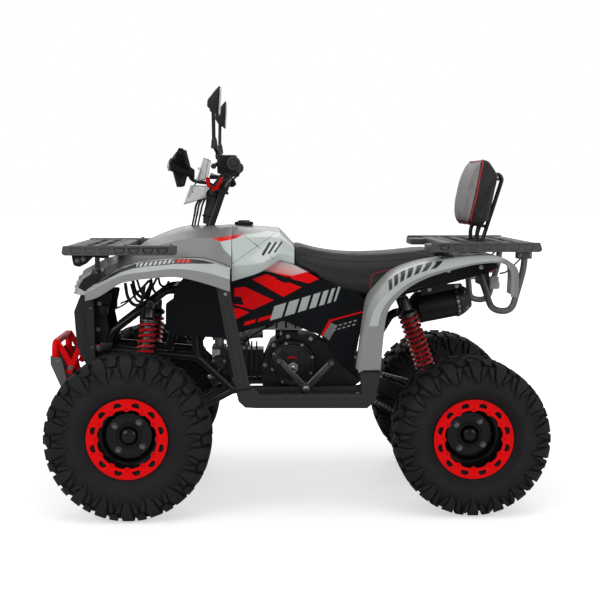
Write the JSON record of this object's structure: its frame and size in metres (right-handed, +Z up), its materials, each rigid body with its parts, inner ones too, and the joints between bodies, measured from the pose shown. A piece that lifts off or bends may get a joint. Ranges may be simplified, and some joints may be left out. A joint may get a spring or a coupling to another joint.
{
  "type": "quad bike",
  "caption": "Four-wheeled sport utility quad bike with knobby balloon tyres, front and rear racks, straddle seat, handlebar steering and a pillion backrest.",
  "frame": {"origin": "on the ground, midway between the front and rear ends, in the centre plane", "axes": "+X to the rear, +Y to the rider's right, +Z up"},
  "size_m": [1.492, 0.954, 1.2499],
  "materials": {
    "black_steel": "satin",
    "black_muffler": "satin",
    "red_steel": "gloss",
    "red_spring": "gloss",
    "damper_steel": "satin",
    "bare_steel": "satin",
    "grey_steel": "satin",
    "chrome_lever": "polished",
    "engine_black": "satin",
    "carb_metal": "satin",
    "grey_plastic": "gloss",
    "black_plastic": "matte",
    "rack_plastic": "matte",
    "seat_cover": "matte",
    "pad_cover": "matte",
    "grip_rubber": "matte",
    "tyre_rubber": "matte",
    "lamp_clear": "gloss",
    "screen_clear": "gloss",
    "lamp_red": "gloss"
  },
  "bodies": {
    "chassis": {"frame_left": "black_steel", "frame_right": "black_steel", "frame_cross": "black_steel", "front_arms": "black_steel", "shock_bodies": "damper_steel", "shock_springs": "red_spring", "swingarm": "black_steel", "chain": "bare_steel", "engine": "engine_black", "carburettor": "carb_metal", "exhaust": "black_muffler", "foot_levers": "chrome_lever", "nose_cowl": "grey_plastic", "front_fenders": "grey_plastic", "tank_cover": "grey_plastic", "fuel_tank": "black_plastic", "side_panels": "black_plastic", "seat": "seat_cover", "rear_fenders": "grey_plastic", "tail_panel": "black_plastic", "foot_guards": "black_plastic", "front_rack": "rack_plastic", "rear_rack": "rack_plastic", "front_bumper": "red_steel", "bumper_guard": "black_plastic", "front_grille": "black_plastic", "headlamps": "lamp_clear", "tail_lamp": "lamp_red", "grab_tubes": "grey_steel", "backrest_pad": "pad_cover", "backrest_frame": "black_steel"},
    "steering": {"steering_column": "black_steel", "handlebar": "black_steel", "grips": "grip_rubber", "bar_controls": "black_plastic", "mirrors": "black_plastic", "lamp_pod": "black_plastic", "windscreen": "screen_clear"},
    "knuckle_left": {"front_knuckle_left": "black_steel"},
    "knuckle_right": {"front_knuckle_right": "black_steel"},
    "tie_rod_left": {"tie_rod_left": "black_steel"},
    "tie_rod_right": {"tie_rod_right": "black_steel"},
    "wheel_front_left": {"front_hub_left": "bare_steel", "front_tyre_left": "tyre_rubber", "front_rim_left": "black_steel", "front_ring_left": "red_steel"},
    "wheel_front_right": {"front_hub_right": "bare_steel", "front_tyre_right": "tyre_rubber", "front_rim_right": "black_steel", "front_ring_right": "red_steel"},
    "rear_axle": {"rear_axle": "bare_steel", "rear_tyres": "tyre_rubber", "rear_rims": "black_steel", "rear_rings": "red_steel"}
  },
  "joints": [
    {"name": "steer", "type": "hinge", "parent": "chassis", "child": "steering", "pos_m": [-0.262, 0, 0.836], "axis": [0.3256, 0, 0.9455], "range_deg": [-30, 30]},
    {"name": "knuckle_left_turn", "type": "hinge", "parent": "chassis", "child": "knuckle_left", "pos_m": [-0.485, -0.27, 0.2415], "axis": [0, 0, 1], "range_deg": [-30, 30]},
    {"name": "knuckle_right_turn", "type": "hinge", "parent": "chassis", "child": "knuckle_right", "pos_m": [-0.485, 0.27, 0.2415], "axis": [0, 0, 1], "range_deg": [-30, 30]},
    {"name": "tie_rod_left_swing", "type": "hinge", "parent": "knuckle_left", "child": "tie_rod_left", "pos_m": [-0.425, -0.284, 0.281], "axis": [0, 0, 1], "range_deg": [-30, 30]},
    {"name": "tie_rod_right_swing", "type": "hinge", "parent": "knuckle_right", "child": "tie_rod_right", "pos_m": [-0.425, 0.284, 0.281], "axis": [0, 0, 1], "range_deg": [-30, 30]},
    {"name": "front_left_spin", "type": "hinge", "parent": "knuckle_left", "child": "wheel_front_left", "pos_m": [-0.485, -0.388, 0.2415], "axis": [0, 1, 0], "continuous": true},
    {"name": "front_right_spin", "type": "hinge", "parent": "knuckle_right", "child": "wheel_front_right", "pos_m": [-0.485, 0.388, 0.2415], "axis": [0, 1, 0], "continuous": true},
    {"name": "rear_axle_spin", "type": "hinge", "parent": "chassis", "child": "rear_axle", "pos_m": [0.515, 0, 0.229], "axis": [0, 1, 0], "continuous": true}
  ],
  "couplings": [
    {"joint": "knuckle_left_turn", "follows": "steer", "ratio": 1},
    {"joint": "knuckle_right_turn", "follows": "steer", "ratio": 1},
    {"joint": "tie_rod_left_swing", "follows": "steer", "ratio": -1},
    {"joint": "tie_rod_right_swing", "follows": "steer", "ratio": -1}
  ]
}
